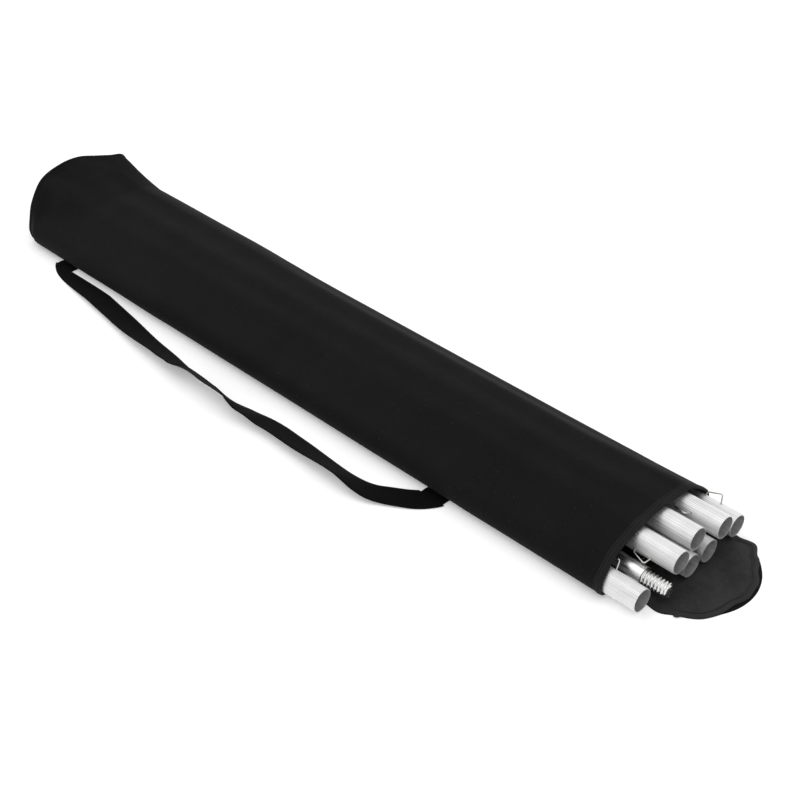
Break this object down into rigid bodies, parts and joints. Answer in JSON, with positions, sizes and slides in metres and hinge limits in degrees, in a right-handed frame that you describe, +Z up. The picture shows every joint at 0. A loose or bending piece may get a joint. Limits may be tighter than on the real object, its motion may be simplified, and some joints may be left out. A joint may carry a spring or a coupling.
{
  "type": "background support kit",
  "caption": "Long soft carry bag with open round-ended mouth, flap and shoulder strap, packed with fluted poles, wire clips and a threaded jack.",
  "frame": {"origin": "centre of the bag's flat underside, where it rests on the floor", "axes": "+X along the bag towards its open mouth and the poles' open ends, +Z up, +Y away from the shoulder strap"},
  "size_m": [1.338, 0.3104, 0.0943],
  "materials": {
    "bag_fabric": "woven nylon, matt black",
    "trim_fabric": "woven binding tape, matt black",
    "flap_lining": "brushed lining, dark grey",
    "webbing": "woven webbing, matt black",
    "fluted_aluminium": "satin anodised, drawn with fine flutes",
    "spring_wire": "drawn spring wire",
    "jack_chrome": "polished plating",
    "screw_steel": "bright zinc plating",
    "nut_steel": "turned, zinc plated",
    "bush_plastic": "moulded"
  },
  "bodies": {
    "bag": {"bag_body": "bag_fabric", "bag_tail": "bag_fabric", "bag_end_panel": "bag_fabric", "bag_end_piping": "trim_fabric", "mouth_binding": "trim_fabric", "strap_anchor_near": "webbing", "strap_anchor_far": "webbing"},
    "flap": {"flap_panel": "flap_lining", "flap_hem_band": "trim_fabric"},
    "strap": {"shoulder_strap": "webbing"},
    "pole_1": {"pole_1": "fluted_aluminium"},
    "pole_2": {"pole_2": "fluted_aluminium"},
    "pole_3": {"pole_3": "fluted_aluminium"},
    "pole_4": {"pole_4": "fluted_aluminium"},
    "pole_5": {"pole_5": "fluted_aluminium"},
    "pole_6": {"pole_6": "fluted_aluminium"},
    "pole_7": {"pole_7": "fluted_aluminium"},
    "clip_1": {"wire_clip_1": "spring_wire"},
    "clip_2": {"wire_clip_2": "spring_wire"},
    "clip_6": {"wire_clip_6": "spring_wire"},
    "clip_7": {"wire_clip_7": "spring_wire"},
    "jack": {"jack_tube": "jack_chrome", "jack_nut": "nut_steel"},
    "jack_guide": {"jack_guide_bush": "bush_plastic"},
    "jack_screw": {"jack_screw": "screw_steel"}
  },
  "joints": [
    {"name": "pole_1_slide", "type": "slide", "parent": "bag", "child": "pole_1", "axis": [1, 0, 0], "range_m": [-0.055, 1.1]},
    {"name": "pole_2_slide", "type": "slide", "parent": "bag", "child": "pole_2", "axis": [1, 0, 0], "range_m": [-0.055, 1.1]},
    {"name": "pole_3_slide", "type": "slide", "parent": "bag", "child": "pole_3", "axis": [1, 0, 0], "range_m": [-0.055, 1.1]},
    {"name": "pole_4_slide", "type": "slide", "parent": "bag", "child": "pole_4", "axis": [1, 0, 0], "range_m": [-0.055, 1.1]},
    {"name": "pole_5_slide", "type": "slide", "parent": "bag", "child": "pole_5", "axis": [1, 0, 0], "range_m": [-0.055, 1.1]},
    {"name": "pole_6_slide", "type": "slide", "parent": "bag", "child": "pole_6", "axis": [1, 0, 0], "range_m": [-0.055, 1.1]},
    {"name": "pole_7_slide", "type": "slide", "parent": "bag", "child": "pole_7", "axis": [1, 0, 0], "range_m": [0, 1.1]},
    {"name": "clip_1_lift", "type": "hinge", "parent": "pole_1", "child": "clip_1", "pos_m": [0.585, -0.08488, 0.03054], "axis": [0, -0.7431, 0.6691], "range_deg": [0, 8], "stiffness_Nm_per_rad": 0.005, "springref_deg": -5.73},
    {"name": "clip_2_lift", "type": "hinge", "parent": "pole_2", "child": "clip_2", "pos_m": [0.606, -0.0439, 0.03737], "axis": [0, 0.1736, -0.9848], "range_deg": [0, 8], "stiffness_Nm_per_rad": 0.005, "springref_deg": -5.73},
    {"name": "clip_6_lift", "type": "hinge", "parent": "pole_6", "child": "clip_6", "pos_m": [0.597, 0.04479, 0.04889], "axis": [0, -0.4226, -0.9063], "range_deg": [0, 8], "stiffness_Nm_per_rad": 0.005, "springref_deg": -5.73},
    {"name": "clip_7_lift", "type": "hinge", "parent": "pole_7", "child": "clip_7", "pos_m": [0.604, 0.10117, 0.03351], "axis": [0, -0.9397, 0.342], "range_deg": [0, 8], "stiffness_Nm_per_rad": 0.005, "springref_deg": -5.73},
    {"name": "flap_fold", "type": "hinge", "parent": "bag", "child": "flap", "pos_m": [0.6032, 0.012, 0.001], "axis": [0, 1, 0], "range_deg": [0, 90]},
    {"name": "strap_lift", "type": "hinge", "parent": "bag", "child": "strap", "pos_m": [-0.075, -0.1194, 0.0011], "axis": [-1, 0, 0], "range_deg": [0, 90]},
    {"name": "jack_slide", "type": "slide", "parent": "bag", "child": "jack", "axis": [1, 0, 0], "range_m": [-0.055, 0.6]},
    {"name": "screw_travel", "type": "slide", "parent": "jack", "child": "jack_guide", "axis": [1, 0, 0], "range_m": [-0.027, 0.149]},
    {"name": "screw_turn", "type": "hinge", "parent": "jack_guide", "child": "jack_screw", "pos_m": [0.4385, -0.057, 0.01642], "axis": [1, 0, 0], "range_deg": [-1980, 10800]}
  ],
  "couplings": [
    {"joint": "screw_turn", "follows": "screw_travel", "rad_per_m": 1256.6}
  ]
}
